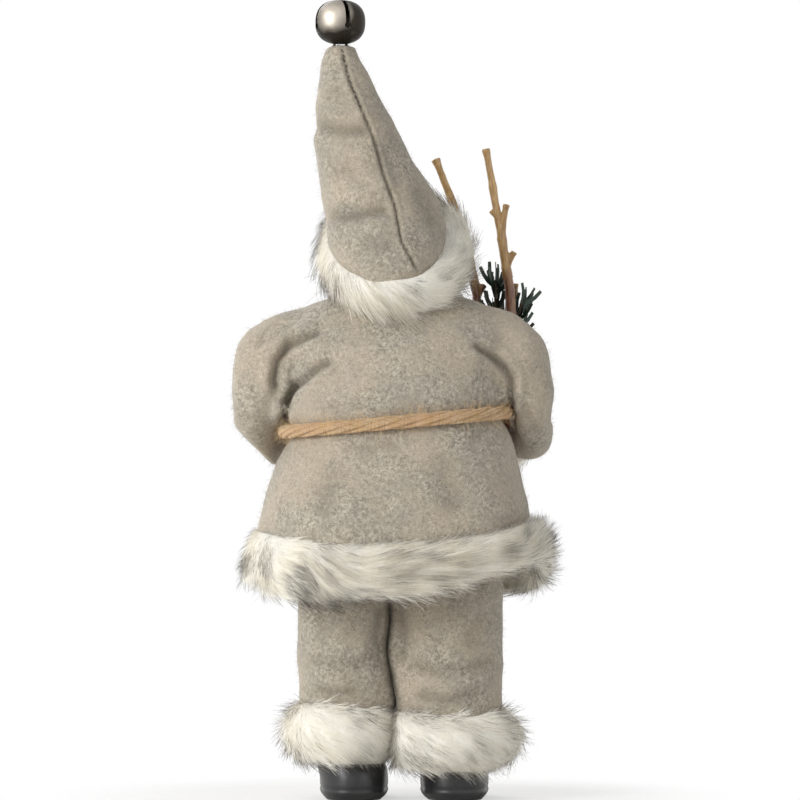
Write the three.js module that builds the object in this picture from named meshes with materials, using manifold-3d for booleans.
// A standing felt winter figure with fur trim, a jute rope belt, a jingle bell on its pointed hat and
// a bundle of twigs in the crook of its right arm. Millimetres, +Z up, the face looks along -Y.
import * as THREE from "three";
import { mergeVertices } from "three/addons/utils/BufferGeometryUtils.js";
import Module from "manifold-3d";

const wasm = await Module();
wasm.setup();

// Materials and clearances
const FELT = 1.6; // thickness of the wool felt
const SEAT_GAP = 0.3; // between two pieces that touch
const JOINT_GAP = 0.45; // between two pieces that turn past each other

// The figure's axis stands behind the middle of its footprint, because its hands reach forward
const AXIS_X = -1.8;
const AXIS_Y = 5.7;

// Coat, measured to the outside of the felt
const TORSO_X = -1.2; // the body leans a little to its right
const TORSO_SQUARE = 2.35; // exponent of its rounded cross-section
const HEM_Z = 95; // middle of the hem's fur band
const HEM_HALF_WIDTH = 56.5;
const HEM_DEPTH = 44.5; // front and back alike, from the axis
const HIP_Z = 122;
const HIP_HALF_WIDTH = 51;
const HIP_DEPTH = 40;
const WAIST_Z = 149.8;
const WAIST_HALF_WIDTH = 41;
const WAIST_DEPTH = 32.5;
const WAIST_PINCH = 2.4; // the rope is pulled in by this much
const WAIST_REACH = 6.5; // height above and below the rope at which the coat is full again
const CHEST_Z = 168;
const CHEST_HALF_WIDTH = 42;
const CHEST_DEPTH = 32.8;
const SHOULDER_Z = 184;
const SHOULDER_HALF_WIDTH = 46;
const SHOULDER_DEPTH = 26;
const COLLAR_Z = 201;
const COLLAR_HALF_WIDTH = 19;
const COLLAR_DEPTH = 11;
const HEM_WAVE = 4; // the hem rises at both sides and drops in front and behind
const HEM_TILT = 2.5; // and rises more on the figure's right
const FOLD_COUNT = 5;
const FOLD_DEPTH = 1.4; // main folds of the skirt
const HEM_BAND_HEIGHT = 21;
const HEM_BAND_THICKNESS = 7.5;
const PLACKET_WIDTH = 13; // fur strip down the front
const PLACKET_THICKNESS = 4.5;

// Rope belt
const ROPE_DIAMETER = 6;
const BELT_SLOPE = 0.089; // rise towards the figure's right
const KNOT_WIDTH = 15;
const KNOT_DEPTH = 12;
const KNOT_HEIGHT = 12;
const TAIL_SPREAD = 7.5; // each tail's end, sideways from the knot
const TAIL_DROP = 41;

// Neck post and head
const POST_DIAMETER = 9;
const POST_LENGTH = 42;
const POST_DEPTH = 26; // how much of it is in the body core
const HEAD_Z = 221.6;
const HEAD_Y = -2.5;
const HEAD_HALF_WIDTH = 21.5;
const HEAD_HALF_DEPTH = 21.5;
const HEAD_HALF_HEIGHT = 22;
const NOSE_LENGTH = 7;
const EYE_DIAMETER = 3.6;
const EYE_SPACING = 15.5;
const EYE_Z = 223.5;
const BEARD_LENGTH = 48;
const BEARD_THICKNESS = 11;
const MOUSTACHE_WIDTH = 30;

// Hat
const BRIM_TILT = 38; // degrees: low at the nape, high over the forehead
const BRIM_Y = 0.2;
const BRIM_Z = 220;
const BRIM_HALF_WIDTH = 26;
const BRIM_HALF_LENGTH = 30.5;
const BRIM_BAND_HEIGHT = 15;
const BRIM_BAND_THICKNESS = 8.5;
const HAT_TUCK = 2; // the felt ends this far above the fur band's lower edge
const HAT_TIP_X = 21;
const HAT_TIP_Y = 4;
const HAT_TIP_Z = 299.4;
const HAT_TIP_RADIUS = 5.5;

// Jingle bell
const BELL_DIAMETER = 20;
const BELL_HEIGHT = 17.6;
const BELL_WALL = 0.8;
const BELL_SLOT = 1.9;
const BELL_TURN = 19; // degrees that the crossed slots are turned from the figure's axes
const BELL_STAND = 1.1; // free height between the hat's tip and the bell
const LOOP_EYE = 3.6; // inner diameter of the wire loop
const LOOP_WIRE = 1.2;
const THREAD_DIAMETER = 1;
const PELLET_DIAMETER = 5.6;

// Legs and boots: [left, right], and the left is at +X
const LEG_SPLIT_X = 0.9; // where the two legs press together
const LEG_WIDTH = [37.4, 45.4];
const LEG_DEPTH = 40;
const LEG_TOP_Z = 102;
const CUFF_Z = [26.5, 23.5];
const CUFF_HEIGHT = 23;
const CUFF_THICKNESS = 5.6;
const BOOT_X = [15.6, -24.6];
const BOOT_WIDTH = 28;
const BOOT_LENGTH = 51;
const BOOT_HEIGHT = 36;
const BOOT_WALL = 2;
const SHAFT_SHIFT = 0.6; // how far the shaft leans from the foot's middle to the leg's
const ROD_DIAMETER = 4;
const ROD_TOP_Z = 150;

// Arms: [left, right]
const ARM_BALL_X = [47.2, -46.4];
const ARM_BALL_Z = [173.6, 174.6];
const ARM_BALL_RADIUS = [17.4, 16.8];
const ELBOW = [
  [57.4, -4, 152],
  [-55.2, -4.5, 150],
];
const FOREARM = [
  [53.4, -25, 144.5],
  [-56.2, -25, 143.5],
];
const ELBOW_RADIUS = [10.4, 7.6]; // sideways: the right sleeve is pressed flat there
const ELBOW_DEPTH = 9;
const ELBOW_SHARE = 0.4; // of the arm's length, from the shoulder
const WRIST = [
  [39, -46, 143.5],
  [-47, -47, 144.5],
];
const WRIST_RADIUS = 8.2;
const ARM_SWING = [
  [-10, 8],
  [-10, 2],
]; // degrees that each arm turns, positive is forearm down
const INSIDE_TURN = 15; // degrees that the flat side of a sleeve's filling is turned from straight sideways
const INSIDE_REACH = WAIST_HALF_WIDTH + ROPE_DIAMETER + 1.4;
const FOREARM_START_Y = -17; // in front of it the sleeve is clear of the body
const SLEEVE_CUFF_LENGTH = 11;
const SLEEVE_CUFF_THICKNESS = 4.6;
const WIRE_DIAMETER = 2;
const PIN_DIAMETER = 5;
const PIN_LENGTH = 20;
const SWING_STEP = 5; // degrees between two positions that a sleeve is fitted at
const ARM_STEPS = 6;
const SLEEVE_SIDES = 12;
const MITTEN_LENGTH = 20;

// Twig bundle
const TIE_DIAMETER = 2.4;
const NEEDLE_LENGTH = 10;
const NEEDLE_WIDTH = 0.9;
const NEEDLES_PER_STEM = 22;
const TIE_Z = 161;
const TWIG_CLEARANCE = 4.2; // from a twig's middle line to what lies beside it

const TURN = 2 * Math.PI;
const ROUND = 16; // sides of the large soft shapes
const SMALL_ROUND = 10;
const TORSO_SIDES = 20;
const HIDDEN_ROUND = 10; // sides of the surfaces that no one sees

const V = (x, y, z) => new THREE.Vector3(x, y, z);
const radians = THREE.MathUtils.degToRad;
const mix = THREE.MathUtils.lerp;

// Solids

/** A manifold solid from vertices and triangles, turned so that its faces point out. */
function solidFrom(positions, index) {
  const build = (triVerts) =>
    new wasm.Manifold(new wasm.Mesh({ numProp: 3, vertProperties: new Float32Array(positions), triVerts }));
  const made = build(new Uint32Array(index));
  if (made.volume() > 0) return made;
  const flipped = new Uint32Array(index);
  for (let i = 0; i < flipped.length; i += 3) [flipped[i + 1], flipped[i + 2]] = [flipped[i + 2], flipped[i + 1]];
  return build(flipped);
}

/** A solid from a closed three.js geometry, moved by a matrix. */
function solidOf(geometry, matrix = new THREE.Matrix4()) {
  const bare = geometry.clone().applyMatrix4(matrix);
  bare.deleteAttribute("normal");
  bare.deleteAttribute("uv");
  const merged = mergeVertices(bare, 1e-4);
  return solidFrom(merged.attributes.position.array, merged.index.array);
}

/** The largest of a solid's separate bodies. */
const largest = (solid) => solid.decompose().reduce((best, part) => (part.volume() > best.volume() ? part : best));

/** Joins rings of equal length into a skin: a tube with two flat ends, or a ring that closes on itself. */
function loft(rings, closed = false) {
  const count = rings[0].length;
  const index = [];
  const spans = closed ? rings.length : rings.length - 1;
  for (let r = 0; r < spans; r++)
    for (let i = 0; i < count; i++) {
      const a = r * count + i;
      const b = r * count + ((i + 1) % count);
      const c = ((r + 1) % rings.length) * count + i;
      const d = ((r + 1) % rings.length) * count + ((i + 1) % count);
      index.push(a, b, d, a, d, c);
    }
  const last = (rings.length - 1) * count;
  for (let i = 1; i < count - 1 && !closed; i++) index.push(0, i + 1, i, last, last + i, last + i + 1);
  return solidFrom(
    rings.flat().flatMap((p) => [p.x, p.y, p.z]),
    index,
  );
}

function egg(centre, halves, sides = ROUND) {
  const place = new THREE.Matrix4().compose(centre, new THREE.Quaternion(), V(...halves));
  return solidOf(new THREE.SphereGeometry(1, sides, sides / 2), place);
}

const ball = (centre, radius, sides = ROUND) => egg(centre, [radius, radius, radius], sides);

/** A round bar between two points. */
function bar(from, to, radius, sides = SMALL_ROUND, endRadius = radius) {
  const along = to.clone().sub(from);
  const turn = new THREE.Quaternion().setFromUnitVectors(V(0, 1, 0), along.clone().normalize());
  const place = new THREE.Matrix4().compose(from.clone().add(to).multiplyScalar(0.5), turn, V(1, 1, 1));
  return solidOf(new THREE.CylinderGeometry(endRadius, radius, along.length(), sides), place);
}

/** A torus whose axis is the given direction. */
function hoop(centre, axis, radius, wire, sides = 8, steps = SMALL_ROUND) {
  const turn = new THREE.Quaternion().setFromUnitVectors(V(0, 0, 1), axis.clone().normalize());
  const place = new THREE.Matrix4().compose(centre, turn, V(1, 1, 1));
  return solidOf(new THREE.TorusGeometry(radius, wire, sides, steps), place);
}

const box = (low, high) =>
  solidOf(
    new THREE.BoxGeometry(high.x - low.x, high.y - low.y, high.z - low.z).translate(
      (low.x + high.x) / 2,
      (low.y + high.y) / 2,
      (low.z + high.z) / 2,
    ),
  );

/** Rings square to a curve, with a radius for each share of its length. */
function tubeRings(curve, radiusAt, steps, sides) {
  const frames = curve.computeFrenetFrames(steps, false);
  return Array.from({ length: steps + 1 }, (_, s) => {
    const centre = curve.getPointAt(s / steps);
    const radius = radiusAt(s / steps);
    return Array.from({ length: sides }, (_, i) => {
      const a = (TURN * i) / sides;
      return centre
        .clone()
        .addScaledVector(frames.normals[s], radius * Math.cos(a))
        .addScaledVector(frames.binormals[s], radius * Math.sin(a));
    });
  });
}

const tube = (curve, radiusAt, steps, sides) => loft(tubeRings(curve, radiusAt, steps, sides));
const curveThrough = (...points) => new THREE.CatmullRomCurve3(points.map((p) => V(...p)), false, "centripetal");

/** Smooth value of a list of rows at a fractional row number. */
function smoothRow(rows, t) {
  const at = (i) => rows[THREE.MathUtils.clamp(i, 0, rows.length - 1)];
  const i = Math.min(Math.floor(t), rows.length - 2);
  const u = t - i;
  return rows[0].map((_, k) => {
    const [p0, p1, p2, p3] = [at(i - 1)[k], at(i)[k], at(i + 1)[k], at(i + 2)[k]];
    const bend = 2 * p0 - 5 * p1 + 4 * p2 - p3;
    const twist = 3 * p1 - p0 - 3 * p2 + p3;
    return 0.5 * (2 * p1 + (p2 - p0) * u + bend * u * u + twist * u * u * u);
  });
}

// Torso: rows of height, half width and depth, from under the hem to the collar
const blend = (from, to, ...shares) => shares.map((share, i) => mix(from[i], to[i], share));
const hipRow = [HIP_Z, HIP_HALF_WIDTH, HIP_DEPTH];
const aboveHipRow = [WAIST_Z, WAIST_HALF_WIDTH + 4, WAIST_DEPTH + 4];
const chestRow = [CHEST_Z, CHEST_HALF_WIDTH, CHEST_DEPTH];
const shoulderRow = [SHOULDER_Z, SHOULDER_HALF_WIDTH, SHOULDER_DEPTH];
const collarRow = [COLLAR_Z, COLLAR_HALF_WIDTH, COLLAR_DEPTH];
const TORSO_ROWS = [
  [HEM_Z - HEM_BAND_HEIGHT, HEM_HALF_WIDTH + 2, HEM_DEPTH + 1.5],
  [HEM_Z, HEM_HALF_WIDTH, HEM_DEPTH],
  hipRow,
  blend(hipRow, aboveHipRow, 0.5, 0.6, 0.6),
  [WAIST_Z - WAIST_REACH, WAIST_HALF_WIDTH + WAIST_PINCH + 1, WAIST_DEPTH + WAIST_PINCH + 1],
  [WAIST_Z, WAIST_HALF_WIDTH, WAIST_DEPTH],
  [WAIST_Z + WAIST_REACH, WAIST_HALF_WIDTH + WAIST_PINCH, WAIST_DEPTH + WAIST_PINCH],
  chestRow,
  blend(chestRow, shoulderRow, 0.6, 0.5, 0.4),
  shoulderRow,
  blend(shoulderRow, collarRow, 0.5, 0.17, 0.48),
  blend(shoulderRow, collarRow, 0.84, 0.54, 0.74),
  collarRow,
];
const TORSO_LAST = TORSO_ROWS.length - 1;

function torsoRowAt(z) {
  let [low, high] = [0, TORSO_LAST];
  for (let step = 0; step < 30; step++) {
    const middle = (low + high) / 2;
    if (smoothRow(TORSO_ROWS, middle)[0] < z) low = middle;
    else high = middle;
  }
  return (low + high) / 2;
}

const hemLift = (angle) => HEM_WAVE * Math.cos(2 * angle) - HEM_TILT * Math.cos(angle);
const skirtShare = (z) => THREE.MathUtils.smoothstep(WAIST_Z - z, 0, WAIST_Z - HEM_Z);
const waistSlope = (z) => BELT_SLOPE * Math.exp(-(((z - WAIST_Z) / (3 * WAIST_REACH)) ** 2));

/** A point on the coat's outside, moved outwards by an offset along the surface's normal. */
function torsoPoint(row, angle, offset = 0) {
  const [z, halfWidth, depth] = smoothRow(TORSO_ROWS, row);
  const [zOn, widthOn] = smoothRow(TORSO_ROWS, Math.min(row + 0.05, TORSO_LAST));
  const [zBack, widthBack] = smoothRow(TORSO_ROWS, Math.max(row - 0.05, 0));
  const slope = Math.atan2(widthBack - widthOn, zOn - zBack);
  const share = skirtShare(z);
  const out = offset * Math.cos(slope) + share * FOLD_DEPTH * Math.cos(FOLD_COUNT * angle + 0.6);
  const bend = (v) => Math.sign(v) * Math.abs(v) ** (2 / TORSO_SQUARE);
  const sideways = (halfWidth + out) * bend(Math.cos(angle));
  const up = offset * Math.sin(slope) + share * hemLift(angle) - waistSlope(z) * sideways;
  return V(TORSO_X + sideways, (depth + out) * bend(Math.sin(angle)), z + up);
}

const torsoRing = (row, offset) =>
  Array.from({ length: TORSO_SIDES }, (_, i) => torsoPoint(row, (TURN * i) / TORSO_SIDES, offset));

const FELT_HEM_ROW = torsoRowAt(HEM_Z - HEM_BAND_HEIGHT / 2 + 1.5);
const TORSO_STATIONS = [1, 2, 3.2, 4.1, 5, 6, 7.5, 9, 10, 11, 12];

/** The torso from the felt's lower edge, or a little below it, to the collar: offsets share their facets. */
function torsoSolid(offset, below = 0) {
  return loft([FELT_HEM_ROW - below, ...TORSO_STATIONS].map((row) => torsoRing(row, offset)));
}
const CORE_BOTTOM_Z = LEG_TOP_Z + SEAT_GAP;

// Arms: the ball in the armhole, and the sleeve's line from it through the elbow to the wrist
const shoulderOf = (side) => V(ARM_BALL_X[side], 0, ARM_BALL_Z[side]);
const armCurve = (side) => {
  const bulge = V(Math.sign(ARM_BALL_X[side]), 3, 0);
  const upper = shoulderOf(side).lerp(V(...ELBOW[side]), 0.55).add(bulge);
  const line = [shoulderOf(side), upper, V(...ELBOW[side]), V(...FOREARM[side]), V(...WRIST[side])];
  return new THREE.CatmullRomCurve3(line, false, "centripetal");
};

/** A sleeve's half width and depth at a share of its length. */
function armHalves(side, t) {
  const ballHalf = ARM_BALL_RADIUS[side] - 0.6;
  const elbow = [ELBOW_RADIUS[side], ELBOW_DEPTH];
  if (t > ELBOW_SHARE) return elbow.map((half) => mix(half, WRIST_RADIUS, (t - ELBOW_SHARE) / (1 - ELBOW_SHARE)));
  return elbow.map((half) => mix(ballHalf, half, (t / ELBOW_SHARE) ** 1.3));
}

/** Rings of a sleeve, flattened sideways, and an offset from its outside. */
function armRings(side, offset, steps, sides) {
  const curve = armCurve(side);
  return Array.from({ length: steps + 1 }, (_, s) => {
    const centre = curve.getPointAt(s / steps);
    const along = curve.getTangentAt(s / steps);
    const sideways = V(1, 0, 0).addScaledVector(along, -along.x).normalize();
    const across = along.cross(sideways);
    const [half, depth] = armHalves(side, s / steps).map((v) => v + offset);
    return Array.from({ length: sides }, (_, i) => {
      const a = (TURN * i) / sides;
      return centre
        .clone()
        .addScaledVector(sideways, half * Math.cos(a))
        .addScaledVector(across, depth * Math.sin(a));
    });
  });
}

const sleeveSolid = (side, offset) =>
  ball(shoulderOf(side), ARM_BALL_RADIUS[side] + offset).add(loft(armRings(side, offset, ARM_STEPS, SLEEVE_SIDES)));

/** A solid less the body and belt as the arm meets them along its swing. */
function clearOfBody(solid, side) {
  const reach = ROPE_DIAMETER / 2 + JOINT_GAP;
  const girdle = loft([-reach, reach].map((up) => beltLine(TORSO_SIDES, reach).map((p) => p.clone().setZ(p.z + up))));
  const socket = ball(shoulderOf(side), ARM_BALL_RADIUS[side] + JOINT_GAP, ROUND);
  const body = torsoSolid(JOINT_GAP).add(girdle);
  const pivot = shoulderOf(side).toArray();
  const centred = body.subtract(socket).translate(shoulderOf(side).negate().toArray());
  const [low, high] = ARM_SWING[side];
  const turned = (angle) => centred.rotate(-angle, 0, 0).translate(pivot);
  const spans = Math.ceil((high - low) / SWING_STEP);
  const angles = Array.from({ length: spans + 1 }, (_, i) => mix(low, high, i / spans));
  return largest(angles.reduce((left, angle) => left.subtract(turned(angle)), solid));
}

// Coat

function bodyCore() {
  const bottom = box(V(-200, -200, 0), V(200, 200, CORE_BOTTOM_Z));
  const neckBore = bar(V(0, 0, COLLAR_Z - POST_DEPTH), V(0, 0, COLLAR_Z + 20), POST_DIAMETER / 2 + SEAT_GAP);
  let core = torsoSolid(-FELT - SEAT_GAP).subtract(bottom).subtract(neckBore);
  for (const side of [0, 1]) {
    const socket = ball(shoulderOf(side), ARM_BALL_RADIUS[side] + FELT + 2 * SEAT_GAP, 12);
    const rodBore = rodBar(side, ROD_DIAMETER / 2 + SEAT_GAP, 0, ROD_TOP_Z + SEAT_GAP);
    core = core.subtract(armPin(side, SEAT_GAP)).subtract(socket).subtract(rodBore);
  }
  return core;
}

function coatBody() {
  const neckHole = bar(V(0, 0, CHEST_Z), V(0, 0, COLLAR_Z + 9), POST_DIAMETER / 2 + 4 * SEAT_GAP);
  const inside = torsoSolid(-FELT, 0.1).add(neckHole);
  let coat = torsoSolid(0).subtract(inside);
  for (const side of [0, 1]) coat = coat.subtract(ball(shoulderOf(side), ARM_BALL_RADIUS[side] + 2 * JOINT_GAP));
  return coat;
}

/** A soft crowned band round the torso: flat inside, round outside. */
function hemBand() {
  const half = HEM_BAND_HEIGHT / 2;
  const inner = 2 * SEAT_GAP;
  const section = [
    [-half, inner],
    [-half - 1, HEM_BAND_THICKNESS * 0.6],
    [-half * 0.55, HEM_BAND_THICKNESS],
    [half * 0.3, HEM_BAND_THICKNESS * 0.95],
    [half * 0.85, HEM_BAND_THICKNESS * 0.55],
    [half, inner],
    [0, inner],
  ];
  const steps = 2 * TORSO_SIDES;
  const rings = Array.from({ length: steps }, (_, i) => {
    const angle = (TURN * i) / steps;
    return section.map(([up, out]) => torsoPoint(torsoRowAt(HEM_Z + up), angle, out));
  });
  return loft(rings, true);
}

/** A strip of fur down the front between two heights. */
function placket(fromZ, toZ) {
  const count = 8;
  const halfAngle = PLACKET_WIDTH / 2 / WAIST_DEPTH;
  const rings = Array.from({ length: count + 1 }, (_, i) => {
    const row = torsoRowAt(mix(fromZ, toZ, i / count));
    const across = [-1, -0.55, 0, 0.55, 1];
    const at = (s, offset) => torsoPoint(row, -TURN / 4 + s * halfAngle, offset);
    const front = across.map((s) => at(s, PLACKET_THICKNESS * (1 - 0.5 * s * s)));
    const back = across.map((s) => at(s, SEAT_GAP));
    return [...front, ...back.reverse()];
  });
  return loft(rings);
}

// Belt

const ropeOut = ROPE_DIAMETER / 2 + 1.6 * SEAT_GAP; // the coat's facets stand out a little from its rings

/** The rope's middle line round the waist, starting and ending at the front, or a line further out. */
function beltLine(steps, further = 0) {
  return Array.from({ length: steps }, (_, i) => {
    const angle = -TURN / 4 + (TURN * i) / steps;
    return torsoPoint(torsoRowAt(WAIST_Z), angle, ropeOut + further);
  });
}

const knotCentre = () => {
  const front = torsoPoint(torsoRowAt(WAIST_Z), -TURN / 4, 0);
  return V(front.x, front.y - 2 * SEAT_GAP - KNOT_DEPTH / 2, front.z);
};

/** How far the torso's front stands out, with something of the given radius laid on it. */
const frontAt = (z, radius) => torsoPoint(torsoRowAt(z), -TURN / 4, radius + PLACKET_THICKNESS + SEAT_GAP).y;

function ropeBelt() {
  const line = beltLine(48).slice(2, -1);
  return tube(new THREE.CatmullRomCurve3(line), () => ROPE_DIAMETER / 2, 34, 6).subtract(knotSolid(SEAT_GAP));
}

function knotSolid(grow) {
  const halves = [KNOT_WIDTH, KNOT_DEPTH, KNOT_HEIGHT].map((size) => size / 2 + grow);
  return egg(knotCentre(), halves, SMALL_ROUND);
}

function beltTail(way) {
  const top = knotCentre().add(V(way * (ROPE_DIAMETER / 2 + SEAT_GAP), -4.6, -KNOT_HEIGHT / 2 - SEAT_GAP + 1));
  const lying = (share) => {
    const z = top.z - TAIL_DROP * share;
    return [top.x + way * (0.6 + (TAIL_SPREAD - 0.6) * share), frontAt(z, ROPE_DIAMETER / 2), z];
  };
  const curve = curveThrough(top.toArray(), lying(0.35), lying(0.7), lying(1));
  return tube(curve, () => ROPE_DIAMETER / 2 - 0.2, 8, 8).subtract(knotSolid(SEAT_GAP));
}

// Legs

const legCentre = (side) => LEG_SPLIT_X + (side ? -1 : 1) * (LEG_WIDTH[side] / 2 + SEAT_GAP / 2);

const slab = (fromZ, toZ) => box(V(-200, -200, fromZ), V(200, 200, toZ));

/** A stuffed leg with shares of its width and depth at each height, trimmed between two heights. */
function legSolid(side, offset, fromZ, toZ, sides = ROUND) {
  const neck = CUFF_Z[side] + CUFF_HEIGHT / 2;
  const rows = [
    [CUFF_Z[side] - CUFF_HEIGHT, 0.8, 0.8],
    [CUFF_Z[side], 0.86, 0.86],
    [neck, 0.95, 0.94],
    [mix(neck, LEG_TOP_Z, 0.3), 0.985, 1],
    [mix(neck, LEG_TOP_Z, 0.6), 0.97, 0.98],
    [LEG_TOP_Z + 6, 1, 0.95],
  ];
  const rings = rows.map(([z, wide, deep]) =>
    Array.from({ length: sides }, (_, k) => {
      const a = (TURN * k) / sides;
      const reach = (LEG_WIDTH[side] / 2) * wide + offset;
      return V(legCentre(side) + reach * Math.cos(a), ((LEG_DEPTH / 2) * deep + offset) * Math.sin(a), z);
    }),
  );
  return loft(rings).intersect(slab(fromZ, toZ));
}

const legBottom = (side) => CUFF_Z[side] - 2;

function trouserLeg(side) {
  return legSolid(side, 0, legBottom(side), LEG_TOP_Z).subtract(
    legSolid(side, -FELT, legBottom(side) - 2, LEG_TOP_Z + 2, HIDDEN_ROUND),
  );
}

const shaftX = (side) => mix(BOOT_X[side], legCentre(side), SHAFT_SHIFT);
const rodBar = (side, radius, fromZ, toZ) => bar(V(shaftX(side), 0, fromZ), V(shaftX(side), 0, toZ), radius, 10);

function legFilling(side) {
  return legSolid(side, -FELT - SEAT_GAP, BOOT_HEIGHT + SEAT_GAP, LEG_TOP_Z, HIDDEN_ROUND).subtract(
    rodBar(side, ROD_DIAMETER / 2 + SEAT_GAP, 0, LEG_TOP_Z + 5),
  );
}

function trouserCuff(side) {
  const half = CUFF_HEIGHT / 2;
  const round = egg(
    V(legCentre(side), 0, CUFF_Z[side]),
    [LEG_WIDTH[side] / 2 + CUFF_THICKNESS * 1.35, LEG_DEPTH / 2 + CUFF_THICKNESS * 1.35, half * 1.45],
  );
  const way = side ? -1 : 1;
  const split = LEG_SPLIT_X - 1.6 + (way * SEAT_GAP) / 2;
  const own = box(V(Math.min(split, split + way * 90), -90, 0), V(Math.max(split, split + way * 90), 90, 90));
  return round
    .intersect(slab(CUFF_Z[side] - half, CUFF_Z[side] + half))
    .intersect(own)
    .subtract(legSolid(side, SEAT_GAP, CUFF_Z[side] - half - 1, CUFF_Z[side] + half + 1))
    .subtract(legSolid(1 - side, SEAT_GAP, CUFF_Z[side] - half - 1, CUFF_Z[side] + half + 1))
    .subtract(bootSolid(side, -SEAT_GAP, 0, BOOT_HEIGHT));
}

// Boots: rows of height, toe, heel and half width, as shares of the boot's length, height and width
const BOOT_ROWS = [
  [0, -0.53, 0.37, 0.44],
  [0.07, -0.58, 0.41, 0.5],
  [0.24, -0.585, 0.415, 0.5],
  [0.37, -0.5, 0.385, 0.485],
  [0.49, -0.35, 0.33, 0.44],
  [0.62, -0.27, 0.27, 0.385],
  [1, -0.26, 0.25, 0.36],
];

function bootSolid(side, inset, fromZ, toZ, sides = ROUND) {
  const bend = (v) => Math.sign(v) * Math.abs(v) ** 0.86;
  const rings = BOOT_ROWS.map(([up, toe, heel, wide], i) => {
    const lean = (shaftX(side) - BOOT_X[side]) * THREE.MathUtils.smoothstep(up, 0.2, 0.6);
    const long = ((heel - toe) / 2) * BOOT_LENGTH - inset;
    const past = i === BOOT_ROWS.length - 1 ? 3 : 0;
    return Array.from({ length: sides }, (_, k) => {
      const a = (TURN * k) / sides;
      const x = BOOT_X[side] + lean + (wide * BOOT_WIDTH - inset) * bend(Math.cos(a));
      return V(x, ((toe + heel) / 2) * BOOT_LENGTH + long * bend(Math.sin(a)), up * BOOT_HEIGHT + past);
    });
  });
  return loft(rings).intersect(slab(fromZ, toZ));
}

const boot = (side) =>
  bootSolid(side, 0, 0, BOOT_HEIGHT).subtract(bootSolid(side, BOOT_WALL, BOOT_WALL, BOOT_HEIGHT + 2, HIDDEN_ROUND));

const WEIGHT_TOP_SHARE = 0.6;

function bootWeight(side) {
  const bottom = BOOT_WALL + SEAT_GAP;
  return bootSolid(side, BOOT_WALL + SEAT_GAP, bottom, BOOT_HEIGHT * WEIGHT_TOP_SHARE, HIDDEN_ROUND).subtract(
    rodBar(side, ROD_DIAMETER / 2 + SEAT_GAP, bottom + 3, BOOT_HEIGHT),
  );
}

const legRod = (side) => rodBar(side, ROD_DIAMETER / 2, BOOT_WALL + SEAT_GAP + 3 + SEAT_GAP, ROD_TOP_Z);

// Arms

/** Everything of a solid beyond the wrist's end plane. */
function wristCut(side, back) {
  const curve = armCurve(side);
  const end = curve.getPointAt(1);
  const way = curve.getTangentAt(1);
  return bar(end.clone().addScaledVector(way, -back), end.clone().addScaledVector(way, 30), 26);
}

/** The sleeve's inside, shrunk by an inset, and above the forearm kept off the body by an upright plane. */
function sleeveInside(side, inset) {
  const tilt = radians(INSIDE_TURN);
  const outward = V(Math.sign(ARM_BALL_X[side]) * Math.cos(tilt), -Math.sin(tilt), 0);
  const start = V(TORSO_X, 0, 0).addScaledVector(outward, INSIDE_REACH + inset);
  const turn = new THREE.Quaternion().setFromUnitVectors(V(1, 0, 0), outward);
  const place = new THREE.Matrix4().compose(start.setZ(WAIST_Z), turn, V(1, 1, 1));
  const beside = solidOf(new THREE.BoxGeometry(120, 300, 300).translate(60, 0, 0), place);
  const outside = beside.add(box(V(-200, -200, 0), V(200, FOREARM_START_Y, 300)));
  const rings = armRings(side, -inset, ARM_STEPS, SLEEVE_SIDES / 2);
  const beyond = armCurve(side).getTangentAt(1).multiplyScalar(3);
  return loft([...rings, rings.at(-1).map((p) => p.clone().add(beyond))]).intersect(outside);
}

/** The dowel that the arm turns on, from the body core into the sleeve's ball. */
function armPin(side, grow = 0) {
  const way = Math.sign(ARM_BALL_X[side]);
  const inner = shoulderOf(side).sub(V(way * (PIN_LENGTH / 2 + grow), 0, 0));
  return bar(inner, shoulderOf(side).add(V(way * (PIN_LENGTH / 2 + grow), 0, 0)), PIN_DIAMETER / 2 + grow);
}

const sleeve = (side) =>
  largest(
    clearOfBody(sleeveSolid(side, 0), side)
      .subtract(sleeveInside(side, FELT))
      .subtract(armPin(side, SEAT_GAP))
      .subtract(armWire(side, SEAT_GAP)),
  );

const armFilling = (side) =>
  largest(
    sleeveInside(side, FELT + 1.5 * SEAT_GAP)
      .intersect(slab(0, ARM_BALL_Z[side] - PIN_DIAMETER / 2 - FELT))
      .subtract(armWire(side, SEAT_GAP))
      .subtract(wristCut(side, SLEEVE_CUFF_LENGTH * 0.4)),
  );

function armWire(side, grow = 0) {
  const curve = armCurve(side);
  const points = [0.24, 0.42, 0.55, 0.75, 1].map((t) => curve.getPointAt(t));
  points.push(curve.getPointAt(1).addScaledVector(curve.getTangentAt(1), MITTEN_LENGTH * 0.5));
  points.unshift(points[0].clone().addScaledVector(curve.getTangentAt(0.24), -grow - 0.1));
  points.push(points.at(-1).clone().addScaledVector(curve.getTangentAt(1), grow + 0.1));
  return tube(new THREE.CatmullRomCurve3(points), () => WIRE_DIAMETER / 2 + grow, 8, 5);
}

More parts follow.
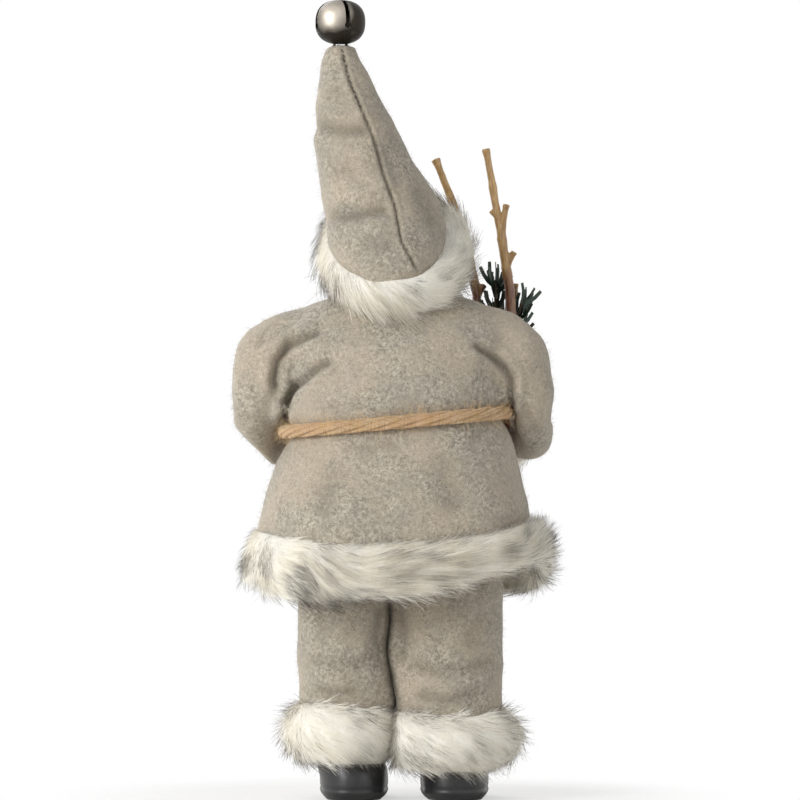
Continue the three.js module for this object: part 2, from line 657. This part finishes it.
function sleeveCuff(side) {
  const curve = armCurve(side);
  const end = curve.getPointAt(1);
  const way = curve.getTangentAt(1);
  const at = (along) => end.clone().addScaledVector(way, along);
  const length = SLEEVE_CUFF_LENGTH;
  const radius = WRIST_RADIUS + SLEEVE_CUFF_THICKNESS;
  const turn = new THREE.Quaternion().setFromUnitVectors(V(0, 1, 0), way);
  const place = new THREE.Matrix4().compose(at(-length / 2 + 2), turn, V(radius, length * 0.72, radius));
  const round = solidOf(new THREE.SphereGeometry(1, 12, 6), place);
  const ends = bar(at(-length + 2), at(2), radius + 5, 8);
  return round
    .intersect(ends)
    .subtract(loft(armRings(side, SEAT_GAP, ARM_STEPS, SLEEVE_SIDES)))
    .subtract(bar(at(-2), at(6), WRIST_RADIUS + SEAT_GAP));
}

function mitten(side) {
  const curve = armCurve(side);
  const along = curve.getTangentAt(1);
  const inward = V(-Math.sign(ARM_BALL_X[side]), 0, 0).addScaledVector(along, Math.sign(ARM_BALL_X[side]) * along.x);
  const up = V(0, 0, 1).addScaledVector(along, -along.z).normalize();
  const frame = new THREE.Matrix4().makeBasis(up.clone().cross(along).negate(), along, up);
  frame.setPosition(curve.getPointAt(1));
  const thumbSide = Math.sign(inward.dot(up.clone().cross(along).negate()));
  const half = MITTEN_LENGTH / 2;
  const palm = solidOf(new THREE.SphereGeometry(1, 10, 7).scale(5.4, half, 8).translate(0, half - 2, 0), frame);
  const thumb = new THREE.SphereGeometry(1, 8, 5)
    .scale(2.5, 5.2, 2.6)
    .rotateZ(thumbSide * -0.45)
    .translate(thumbSide * 2.8, half - 3.5, 6.4);
  const stem = new THREE.CylinderGeometry(4.8, 4.8, 8, SMALL_ROUND).translate(0, 0.2, 0);
  return palm.add(solidOf(thumb, frame)).add(solidOf(stem, frame)).subtract(armWire(side, SEAT_GAP));
}

// Head

const headCentre = V(0, HEAD_Y, HEAD_Z);
const FACE_Y = HEAD_Y - HEAD_HALF_DEPTH; // the front of the face
const eyeCentre = (way) => V((way * EYE_SPACING) / 2, FACE_Y + HEAD_HALF_DEPTH * 0.095, EYE_Z);
const postTop = COLLAR_Z + POST_LENGTH - POST_DEPTH;
const neckPost = () => bar(V(0, 0, COLLAR_Z - POST_DEPTH + SEAT_GAP), V(0, 0, postTop), POST_DIAMETER / 2);

/** The skull, cheeks and nose, grown by a gap. */
function faceSolid(grow) {
  const grown = (halves) => halves.map((half) => half + grow);
  const cheekCentre = (way) => V(way * 9.5, FACE_Y + HEAD_HALF_DEPTH * 0.22, HEAD_Z - 5.5);
  const cheek = (way) => egg(cheekCentre(way), grown([6.5, 5.2, 5.4]), 8);
  const nose = egg(V(0, FACE_Y - NOSE_LENGTH * 0.25, HEAD_Z - 4.5), grown([3.9, NOSE_LENGTH * 0.75, 4.4]), 8);
  const skull = egg(headCentre, grown([HEAD_HALF_WIDTH, HEAD_HALF_DEPTH, HEAD_HALF_HEIGHT]));
  return skull.add(cheek(-1)).add(cheek(1)).add(nose);
}

function headBall() {
  let face = faceSolid(0);
  for (const way of [-1, 1]) face = face.subtract(ball(eyeCentre(way), EYE_DIAMETER / 2 + SEAT_GAP, 10));
  const bore = bar(V(0, 0, HEAD_Z - 60), V(0, 0, postTop + SEAT_GAP), POST_DIAMETER / 2 + SEAT_GAP);
  return face.subtract(bore).subtract(slab(HEAD_Z - 60, COLLAR_Z + 2 * SEAT_GAP));
}

// Beard, a crescent of fur: rows of drop, inner radius, thickness share and half angle
const BEARD_TOP_Z = HEAD_Z - 6;
const BEARD_ROWS = [
  [0, HEAD_HALF_DEPTH + 1.2, 0.4, 66],
  [0.16, HEAD_HALF_DEPTH + 1.2, 0.72, 62],
  [0.34, HEAD_HALF_DEPTH + 5.4, 0.95, 46],
  [0.55, HEAD_HALF_DEPTH + 11, 1, 32],
  [0.8, HEAD_HALF_DEPTH + 14.6, 0.9, 22],
  [1, HEAD_HALF_DEPTH + 16.5, 0.5, 8],
];

function beard() {
  const steps = 7;
  const rings = Array.from({ length: steps + 1 }, (_, i) => {
    const [drop, inner, thick, halfAngle] = smoothRow(BEARD_ROWS, (i / steps) * (BEARD_ROWS.length - 1));
    const arc = (radius, from, to) =>
      Array.from({ length: 6 }, (_, k) => {
        const a = -TURN / 4 + radians(mix(from, to, k / 5));
        return V(radius * Math.cos(a), radius * Math.sin(a), BEARD_TOP_Z - BEARD_LENGTH * drop);
      });
    const outer = inner + BEARD_THICKNESS * thick;
    return [...arc(inner, -halfAngle, halfAngle), ...arc(outer, halfAngle * 0.86, -halfAngle * 0.86)];
  });
  return largest(loft(rings).subtract(moustacheBar(SEAT_GAP)).subtract(faceSolid(SEAT_GAP)));
}

/** Two drooping lobes under the nose. */
function moustacheBar(grow = 0) {
  const half = MOUSTACHE_WIDTH / 2;
  const y = FACE_Y - 5.4;
  const middle = (way) => [way * half * 0.45, y - 0.8, HEAD_Z - 11];
  const end = (way) => [way * half, y + 3.6, HEAD_Z - 15.5];
  const lobe = (way) => curveThrough([-way, y, HEAD_Z - 10.6], middle(way), end(way));
  const thick = (t) => mix(3.1, 1, t ** 1.5) + grow;
  return tube(lobe(1), thick, 5, 6).add(tube(lobe(-1), thick, 5, 6));
}

// Hat: rows of centre x, y and z, tilt in degrees, half width and half length, from above the fur band to the tip
const HAT_RISE = HAT_TIP_Z - BRIM_Z;
const brimUp = V(0, Math.sin(radians(BRIM_TILT)), Math.cos(radians(BRIM_TILT)));
const hatBase = V(0, BRIM_Y, BRIM_Z).addScaledVector(brimUp, BRIM_BAND_HEIGHT / 2);
const HAT_ROWS = [
  [hatBase.x, hatBase.y, hatBase.z, BRIM_TILT, BRIM_HALF_WIDTH, BRIM_HALF_LENGTH],
  [HAT_TIP_X * 0.25, 2.4, BRIM_Z + HAT_RISE * 0.235, BRIM_TILT * 0.56, 23, 25],
  [HAT_TIP_X * 0.52, 2.6, BRIM_Z + HAT_RISE * 0.415, BRIM_TILT * 0.26, 19.4, 20.4],
  [HAT_TIP_X * 0.71, 2.9, BRIM_Z + HAT_RISE * 0.59, BRIM_TILT * 0.1, 16.2, 16.2],
  [HAT_TIP_X * 0.84, 3.2, BRIM_Z + HAT_RISE * 0.745, BRIM_TILT * 0.03, 12.5, 12.4],
  [HAT_TIP_X * 0.94, 3.6, BRIM_Z + HAT_RISE * 0.87, 0, 9.6, 9.4],
  [HAT_TIP_X, HAT_TIP_Y, BRIM_Z + HAT_RISE * 0.965, 0, HAT_TIP_RADIUS + 1.4, HAT_TIP_RADIUS + 1.4],
  [HAT_TIP_X, HAT_TIP_Y, HAT_TIP_Z, 0, HAT_TIP_RADIUS * 0.7, HAT_TIP_RADIUS * 0.7],
];
const HAT_STATIONS = [0, 0.6, 1.2, 2, 3, 4, 5, 6, 7];

/** A ring round the hat at a row, moved along the hat's own axis there. */
function hatRing(row, offset, along = 0) {
  const [x, y, z, tilt, halfWidth, halfLength] = smoothRow(HAT_ROWS, row);
  const back = V(0, Math.cos(radians(tilt)), -Math.sin(radians(tilt)));
  const up = V(0, Math.sin(radians(tilt)), Math.cos(radians(tilt)));
  return Array.from({ length: ROUND }, (_, i) => {
    const a = (TURN * i) / ROUND;
    return V(x + (halfWidth + offset) * Math.cos(a), y, z)
      .addScaledVector(up, along)
      .addScaledVector(back, (halfLength + offset) * Math.sin(a));
  });
}

/** The hat's cone at an offset from its outside, down to a distance below the first row. */
function hatSolid(offset, below, from = 0) {
  const stations = HAT_STATIONS.filter((row) => row >= from);
  const rings = stations.map((row) => hatRing(row, offset, row === 7 ? offset : 0));
  return loft(below ? [hatRing(0, offset, -below), ...rings] : rings);
}

const threadCentre = V(HAT_TIP_X, HAT_TIP_Y, HAT_TIP_Z - 1.4);
const THREAD_RING = 1.6; // radius of the stitch that holds the bell's loop
const threadHoop = (grow) => hoop(threadCentre, V(1, 0, 0), THREAD_RING, THREAD_DIAMETER / 2 + grow, 6, 12);

/** Room in the hat's tip for the bell's loop and for the stitch through it. */
function tipSlots() {
  const loopHalf = LOOP_EYE / 2 + LOOP_WIRE + SEAT_GAP;
  const loopSlot = V(loopHalf, LOOP_WIRE / 2 + SEAT_GAP, loopHalf);
  const threadSlot = V(THREAD_DIAMETER / 2 + SEAT_GAP, THREAD_RING + THREAD_DIAMETER / 2 + SEAT_GAP, 0);
  threadSlot.z = threadSlot.y;
  return [[loopCentre, loopSlot], [threadCentre, threadSlot]]
    .map(([centre, half]) => box(centre.clone().sub(half), centre.clone().add(half)))
    .reduce((a, b) => a.add(b));
}

function hat() {
  return hatSolid(0, BRIM_BAND_HEIGHT - HAT_TUCK)
    .subtract(hatSolid(-FELT, BRIM_BAND_HEIGHT))
    .subtract(tipSlots());
}

function hatFilling() {
  const halves = [HEAD_HALF_WIDTH, HEAD_HALF_DEPTH, HEAD_HALF_HEIGHT].map((half) => half + SEAT_GAP);
  return hatSolid(-FELT - SEAT_GAP, 0, 1.2).subtract(egg(headCentre, halves)).subtract(tipSlots());
}

function brimBand() {
  const section = [
    [-1, 0],
    [-0.87, 0.7],
    [-0.5, 1],
    [-0.13, 0.75],
    [0, 0],
  ];
  const steps = 2 * ROUND;
  const rings = Array.from({ length: steps }, (_, i) => {
    const a = (TURN * i) / steps;
    return section.map(([along, out]) => {
      const reach = 2 * SEAT_GAP + out * (BRIM_BAND_THICKNESS - 2 * SEAT_GAP);
      return hatBase
        .clone()
        .addScaledVector(brimUp, along * BRIM_BAND_HEIGHT)
        .add(V((BRIM_HALF_WIDTH + reach) * Math.cos(a), 0, 0))
        .addScaledVector(V(0, brimUp.z, -brimUp.y), (BRIM_HALF_LENGTH + reach) * Math.sin(a));
    });
  });
  return loft(rings, true);
}

// Bell: an upper cup with crossed slots, a lower cup with a wire loop, and a loose pellet inside
const BELL_BOTTOM_Z = HAT_TIP_Z + BELL_STAND;
const bellCentre = V(HAT_TIP_X, HAT_TIP_Y, BELL_BOTTOM_Z + BELL_HEIGHT / 2);
const BELL_SEAM_Z = bellCentre.z - BELL_HEIGHT * 0.24;
const SLOT_END_Z = bellCentre.z - BELL_HEIGHT * 0.1;
const loopCentre = V(HAT_TIP_X, HAT_TIP_Y, BELL_BOTTOM_Z + BELL_WALL - 1.1);

/** The bell's outline as a squarish ellipse, shrunk by an inset. */
function bellBody(inset) {
  const count = 8;
  const points = Array.from({ length: count + 1 }, (_, i) => {
    const a = -TURN / 4 + (TURN / 2) * (i / count);
    const bend = (v) => Math.sign(v) * Math.abs(v) ** 0.82;
    const radius = i === 0 || i === count ? 0 : (BELL_DIAMETER / 2 - inset) * bend(Math.cos(a));
    return new THREE.Vector2(radius, (BELL_HEIGHT / 2 - inset) * bend(Math.sin(a)));
  });
  const upright = new THREE.LatheGeometry(points, ROUND).rotateX(TURN / 4);
  return solidOf(upright, new THREE.Matrix4().makeTranslation(...bellCentre.toArray()));
}

const bellShell = () => bellBody(0).subtract(bellBody(BELL_WALL));

function bellCrown() {
  const above = box(V(-60, -60, BELL_SEAM_Z + SEAT_GAP / 2), V(60, 60, 400));
  let crown = bellShell().intersect(above);
  const reach = BELL_DIAMETER;
  for (const quarter of [0, 90]) {
    const turn = new THREE.Matrix4().makeRotationZ(radians(quarter + BELL_TURN));
    const place = new THREE.Matrix4().makeTranslation(bellCentre.x, bellCentre.y, 0).multiply(turn);
    const height = bellCentre.z + BELL_HEIGHT - SLOT_END_Z;
    crown = crown.subtract(
      solidOf(new THREE.BoxGeometry(reach * 2, BELL_SLOT, height).translate(0, 0, SLOT_END_Z + height / 2), place),
    );
    for (const way of [-1, 1]) {
      const eye = new THREE.CylinderGeometry(BELL_SLOT * 0.72, BELL_SLOT * 0.72, reach, 6).rotateZ(TURN / 4);
      crown = crown.subtract(solidOf(eye.translate((way * reach) / 2 + way * 4, 0, SLOT_END_Z), place));
    }
  }
  // Four petals would be separate, so the slots stop short of each other at the pole
  const boss = new THREE.CylinderGeometry(2.6, 2.6, BELL_WALL * 2.2, 8).rotateX(TURN / 4);
  const poleZ = bellCentre.z + BELL_HEIGHT / 2 - BELL_WALL * 1.1;
  const pole = solidOf(boss, new THREE.Matrix4().makeTranslation(bellCentre.x, bellCentre.y, poleZ));
  return crown.add(pole.intersect(bellShell()));
}

function bellBase() {
  const below = box(V(-60, -60, 200), V(60, 60, BELL_SEAM_Z - SEAT_GAP / 2));
  return bellShell().intersect(below).subtract(loopHoop(SEAT_GAP * 0.5));
}

const loopHoop = (grow) => hoop(loopCentre, V(0, 1, 0), LOOP_EYE / 2 + LOOP_WIRE / 2, LOOP_WIRE / 2 + grow, 6, 14);

const pelletCentre = V(
  bellCentre.x,
  bellCentre.y,
  Math.max(BELL_BOTTOM_Z + BELL_WALL, loopCentre.z + LOOP_EYE / 2 + LOOP_WIRE) + SEAT_GAP + PELLET_DIAMETER / 2,
);

// Twigs, greenery and their tie, in the crook of the right arm
const TALL_TWIG = [
  [-43.5, -26.3, 139],
  [-45.6, -25.8, 165],
  [-49, -24.5, 195],
  [-44.3, -25, 222],
  [-41, -26.5, 241],
  [-37.4, -28, 258],
];
const INNER_TWIG = [
  [-37.4, -31.2, 141],
  [-37, -33.5, 168],
  [-34, -36.5, 196],
  [-30, -38.5, 221],
  [-22.5, -39, 240],
  [-16.9, -40, 254],
];
const SHORT_TWIG = [
  [-42.6, -32.2, 145],
  [-45, -33.5, 165],
  [-50, -36, 190],
  [-54, -36.5, 209],
];
// Each stub is a share of the twig's length and a reach
const TALL_STUBS = [
  [0.62, [5.6, -0.5, 8]],
  [0.64, [-0.6, 2.2, 11]],
  [0.5, [-3.4, 1, 8.2]],
];
const INNER_STUBS = [[0.72, [-3.8, -2.5, 6]]];
const SHORT_STUBS = [[0.75, [3.5, -3, 6]]];
const PINE_STEMS = [
  [[-39.6, -27.4, 155], [-41.2, -29.6, 168], [-41.5, -32.5, 206]],
  [[-41, -29.4, 166], [-47.5, -31, 180], [-52, -31, 199]],
  [[-41, -29.4, 166], [-39.5, -37.5, 178], [-37.5, -42, 191]],
];

/** A twig along a curve, with short side stubs. */
function twig(points, thick, thin, stubs) {
  const curve = curveThrough(...points);
  const radius = (t) => (t > 0.97 ? thin * 1.3 : mix(thick, thin, t ** 0.8));
  let made = tube(curve, radius, 10, 6);
  for (const [share, reach] of stubs) {
    const root = curve.getPointAt(share);
    made = made.add(bar(root, root.clone().add(V(...reach)), radius(share) * 0.8, 6, radius(share) * 0.66));
  }
  return made;
}

/** Needles set round a stem in a spiral, pointing forward along it, without those that would cross a twig. */
function needlesOn(points, from) {
  const curve = curveThrough(...points);
  const frames = curve.computeFrenetFrames(NEEDLES_PER_STEM, false);
  const twigs = [TALL_TWIG, INNER_TWIG, SHORT_TWIG].flatMap((line) => curveThrough(...line).getSpacedPoints(60));
  const clear = (point) => twigs.every((other) => other.distanceTo(point) > TWIG_CLEARANCE);
  const needles = [];
  for (let i = Math.round(from * NEEDLES_PER_STEM); i < NEEDLES_PER_STEM; i++) {
    const a = i * 2.4;
    const root = curve.getPointAt(i / NEEDLES_PER_STEM);
    const out = frames.normals[i].clone().multiplyScalar(Math.cos(a));
    out.addScaledVector(frames.binormals[i], Math.sin(a));
    const way = out.multiplyScalar(0.8).addScaledVector(frames.tangents[i], 0.6).normalize();
    const tip = root.clone().addScaledVector(way, NEEDLE_LENGTH * (0.8 + 0.2 * Math.sin(i * 1.7)));
    const sound = [0.3, 0.65, 1].every((share) => clear(root.clone().lerp(tip, share)));
    if (sound) needles.push(bar(root, tip, NEEDLE_WIDTH / 2, 3, 0));
  }
  return needles;
}

function pineSprig() {
  const stems = PINE_STEMS.map((points) => tube(curveThrough(...points), (t) => mix(1.1, 0.6, t), 6, 5));
  const needles = PINE_STEMS.flatMap((points, i) => needlesOn(points, i ? 0.25 : 0.42));
  return wasm.Manifold.union([...stems, ...needles]);
}

/** A cord loop drawn tight round the bundle at one height. */
function bundleTie() {
  const steps = 20;
  const nearer = (a, b) => (Math.abs(b.z - TIE_Z) < Math.abs(a.z - TIE_Z) ? b : a);
  const stems = [TALL_TWIG, INNER_TWIG, SHORT_TWIG].map((points) =>
    curveThrough(...points).getSpacedPoints(80).reduce(nearer),
  );
  const middle = stems.reduce((sum, p) => sum.clone().add(p)).divideScalar(stems.length).setZ(TIE_Z);
  const rings = Array.from({ length: steps }, (_, s) => {
    const a = (TURN * s) / steps;
    const out = V(Math.cos(a), Math.sin(a), 0);
    const reach = Math.max(...stems.map((p) => p.clone().sub(middle).dot(out))) + TWIG_CLEARANCE;
    return Array.from({ length: 6 }, (_, i) => {
      const b = (TURN * i) / 6;
      return middle
        .clone()
        .addScaledVector(out, reach + (TIE_DIAMETER / 2) * Math.cos(b))
        .add(V(0, 0, (TIE_DIAMETER / 2) * Math.sin(b)));
    });
  });
  return loft(rings, true);
}

// Materials

const material = (color, roughness, metalness = 0) => new THREE.MeshStandardMaterial({ color, roughness, metalness });
const felt = material(0xa89f93, 0.95);
const fur = material(0xe6e3d8, 0.95);
const foam = material(0xf0efe9, 0.9);
const stuffing = material(0xf5f4f0, 1);
const jute = material(0xb58a57, 0.9);
const bark = material(0x9a7347, 0.6);
const pine = material(0x26352c, 0.7);
const blackPlastic = material(0x2b2b2c, 0.5);
const plaster = material(0xcfcac0, 0.9);
const skin = material(0xd9a98c, 0.55);
const eyeBlack = material(0x141110, 0.15);
const wood = material(0xc9a878, 0.7);
const steel = material(0x8d9094, 0.4, 1);
const gunmetal = material(0x4f4943, 0.3, 1);
const thread = material(0x3a342e, 0.9);

// Assembly

const figure = new THREE.Group();

function addPiece(name, solid, finish) {
  const mesh = solid.getMesh();
  const geometry = new THREE.BufferGeometry();
  const positions = new Float32Array(mesh.numVert * 3);
  for (let i = 0; i < mesh.numVert; i++)
    positions.set(mesh.vertProperties.subarray(i * mesh.numProp, i * mesh.numProp + 3), i * 3);
  geometry.setAttribute("position", new THREE.BufferAttribute(positions, 3));
  geometry.setIndex(new THREE.BufferAttribute(mesh.triVerts, 1));
  geometry.computeVertexNormals();
  const made = new THREE.Mesh(geometry, finish);
  made.name = name;
  figure.add(made);
}

addPiece("body_core", bodyCore(), foam);
addPiece("coat_body", coatBody(), felt);
addPiece("coat_hem_fur", hemBand(), fur);
addPiece("coat_front_fur_upper", placket(WAIST_Z + 8, SHOULDER_Z - 5), fur);
addPiece("coat_front_fur_lower", placket(HEM_Z + HEM_BAND_HEIGHT / 2 + 1, WAIST_Z - 9), fur);
addPiece("rope_belt", ropeBelt(), jute);
addPiece("belt_knot", knotSolid(0), jute);
addPiece("belt_tail_left", beltTail(1), jute);
addPiece("belt_tail_right", beltTail(-1), jute);
addPiece("neck_post", neckPost(), wood);

for (const [side, name] of ["left", "right"].entries()) {
  addPiece("trouser_leg_" + name, trouserLeg(side), felt);
  addPiece("leg_filling_" + name, legFilling(side), stuffing);
  addPiece("leg_rod_" + name, legRod(side), steel);
  addPiece("trouser_cuff_" + name, trouserCuff(side), fur);
  addPiece("boot_" + name, boot(side), blackPlastic);
  addPiece("boot_weight_" + name, bootWeight(side), plaster);
  addPiece("sleeve_" + name, sleeve(side), felt);
  addPiece("arm_filling_" + name, armFilling(side), stuffing);
  addPiece("arm_wire_" + name, armWire(side), steel);
  addPiece("arm_pin_" + name, armPin(side), wood);
  addPiece("sleeve_cuff_" + name, sleeveCuff(side), fur);
  addPiece("mitten_" + name, mitten(side), felt);
}

addPiece("head", headBall(), skin);
addPiece("eye_left", ball(eyeCentre(1), EYE_DIAMETER / 2, 10), eyeBlack);
addPiece("eye_right", ball(eyeCentre(-1), EYE_DIAMETER / 2, 10), eyeBlack);
addPiece("beard", beard(), fur);
addPiece("moustache", moustacheBar().subtract(faceSolid(SEAT_GAP)), fur);
addPiece("hat", hat(), felt);
addPiece("hat_filling", hatFilling(), stuffing);
addPiece("hat_brim_fur", brimBand(), fur);

addPiece("bell_thread", threadHoop(0), thread);
addPiece("bell_loop", loopHoop(0), gunmetal);
addPiece("bell_base", bellBase(), gunmetal);
addPiece("bell_crown", bellCrown(), gunmetal);
addPiece("bell_pellet", ball(pelletCentre, PELLET_DIAMETER / 2, 12), steel);

addPiece("twig_tall", twig(TALL_TWIG, 2.8, 1.25, TALL_STUBS), bark);
addPiece("twig_inner", twig(INNER_TWIG, 2.5, 1.1, INNER_STUBS), bark);
addPiece("twig_short", twig(SHORT_TWIG, 2.5, 1.3, SHORT_STUBS), bark);
addPiece("pine_sprig", pineSprig(), pine);
addPiece("bundle_tie", bundleTie(), jute);

figure.position.set(AXIS_X, AXIS_Y, 0);

export default figure;
